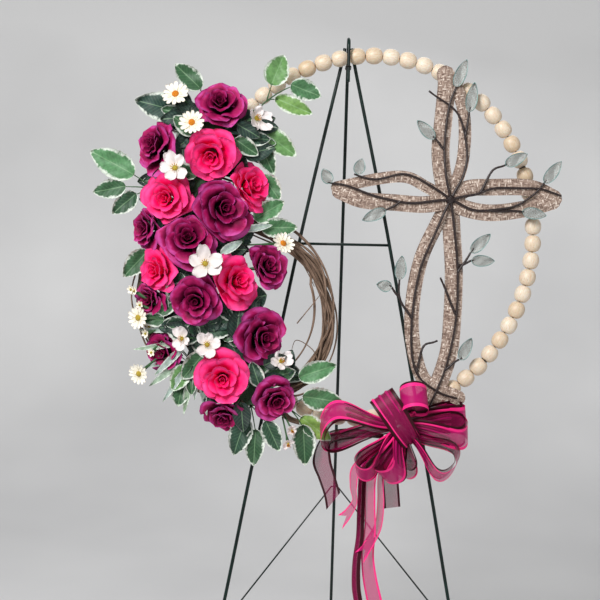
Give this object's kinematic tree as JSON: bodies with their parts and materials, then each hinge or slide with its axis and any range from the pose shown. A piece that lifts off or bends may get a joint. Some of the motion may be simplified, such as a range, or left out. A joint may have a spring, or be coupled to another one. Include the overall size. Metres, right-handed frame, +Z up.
{
  "type": "standing wreath",
  "caption": "Standing memorial wreath: a wood-bead hoop with silk roses, a grapevine ring, a woven cross and a bow, hung on a folding wire easel.",
  "frame": {"origin": "on the floor, under the middle of the whole object", "axes": "+Z up, -Y towards the viewer, +X to the viewer's right; the wreath leans back towards +Y"},
  "size_m": [0.6832, 0.4692, 1.1993],
  "materials": {
    "painted_wire": "satin",
    "bead_wood": "satin",
    "vine_wood": "matte",
    "foam_green": "matte",
    "woven_strip": "matte",
    "twig_wire": "satin",
    "tie_wire": "satin",
    "organza": "satin",
    "pink_silk": "matte",
    "plum_silk": "matte",
    "cream_silk": "matte",
    "white_silk": "matte",
    "leaf_silk": "matte"
  },
  "bodies": {
    "stand": {"left_leg": "painted_wire", "right_leg": "painted_wire", "crossbar": "painted_wire", "hanging_hook": "painted_wire", "hinge_staple": "painted_wire", "beads_top_right": "bead_wood", "beads_bottom_right": "bead_wood", "beads_bottom_left": "bead_wood", "beads_top_left": "bead_wood", "hook_tie": "tie_wire", "rose_top": "plum_silk", "rose_top_outer": "plum_silk", "rose_top_front": "pink_silk", "rose_shoulder_pink": "pink_silk", "rose_upper_plum": "plum_silk", "rose_upper_inner": "pink_silk", "rose_middle": "plum_silk", "rose_side_plum": "plum_silk", "rose_side_pink": "pink_silk", "rose_lower_pink": "pink_silk", "rose_lower_plum": "plum_silk", "rose_inner_plum": "plum_silk", "rose_low_inner": "plum_silk", "rose_low_pink": "pink_silk", "rose_low_right": "plum_silk", "rose_bottom": "plum_silk", "rose_side_low": "plum_silk", "rose_side_bottom": "plum_silk", "grapevine_ring": "vine_wood", "daisies_top": "cream_silk", "daisy_inner": "cream_silk", "daisies_left": "cream_silk", "blossoms_top": "white_silk", "blossom_inner": "white_silk", "blossoms_middle": "white_silk", "blossoms_low": "white_silk", "leaves_top": "leaf_silk", "leaves_left": "leaf_silk", "leaves_right": "leaf_silk", "leaves_low": "leaf_silk", "foam": "foam_green", "cross_upright": "woven_strip", "cross_arm": "woven_strip", "cross_knot": "twig_wire", "twigs_top": "twig_wire", "twigs_right": "twig_wire", "twigs_left": "twig_wire", "twigs_bottom_left": "twig_wire", "twigs_bottom_right": "twig_wire", "tie_top": "tie_wire", "tie_right": "tie_wire", "tie_bottom": "tie_wire", "bow": "organza", "tails_left": "organza", "tails_right": "organza"},
    "back_leg": {"back_leg": "painted_wire"},
    "brace": {"left_brace": "painted_wire", "right_brace": "painted_wire", "brace_loop": "painted_wire"}
  },
  "joints": [
    {"name": "back_leg_fold", "type": "hinge", "parent": "stand", "child": "back_leg", "pos_m": [0.02941, -0.03723, 1.16646], "axis": [-1, 0, 0], "range_deg": [0, 22]},
    {"name": "brace_fold", "type": "hinge", "parent": "stand", "child": "brace", "pos_m": [0.02941, -0.17663, 0.35022], "axis": [1, 0, 0], "range_deg": [0, 56.9]}
  ],
  "couplings": [
    {"joint": "brace_fold", "follows": "back_leg_fold", "ratio": 2.586}
  ]
}
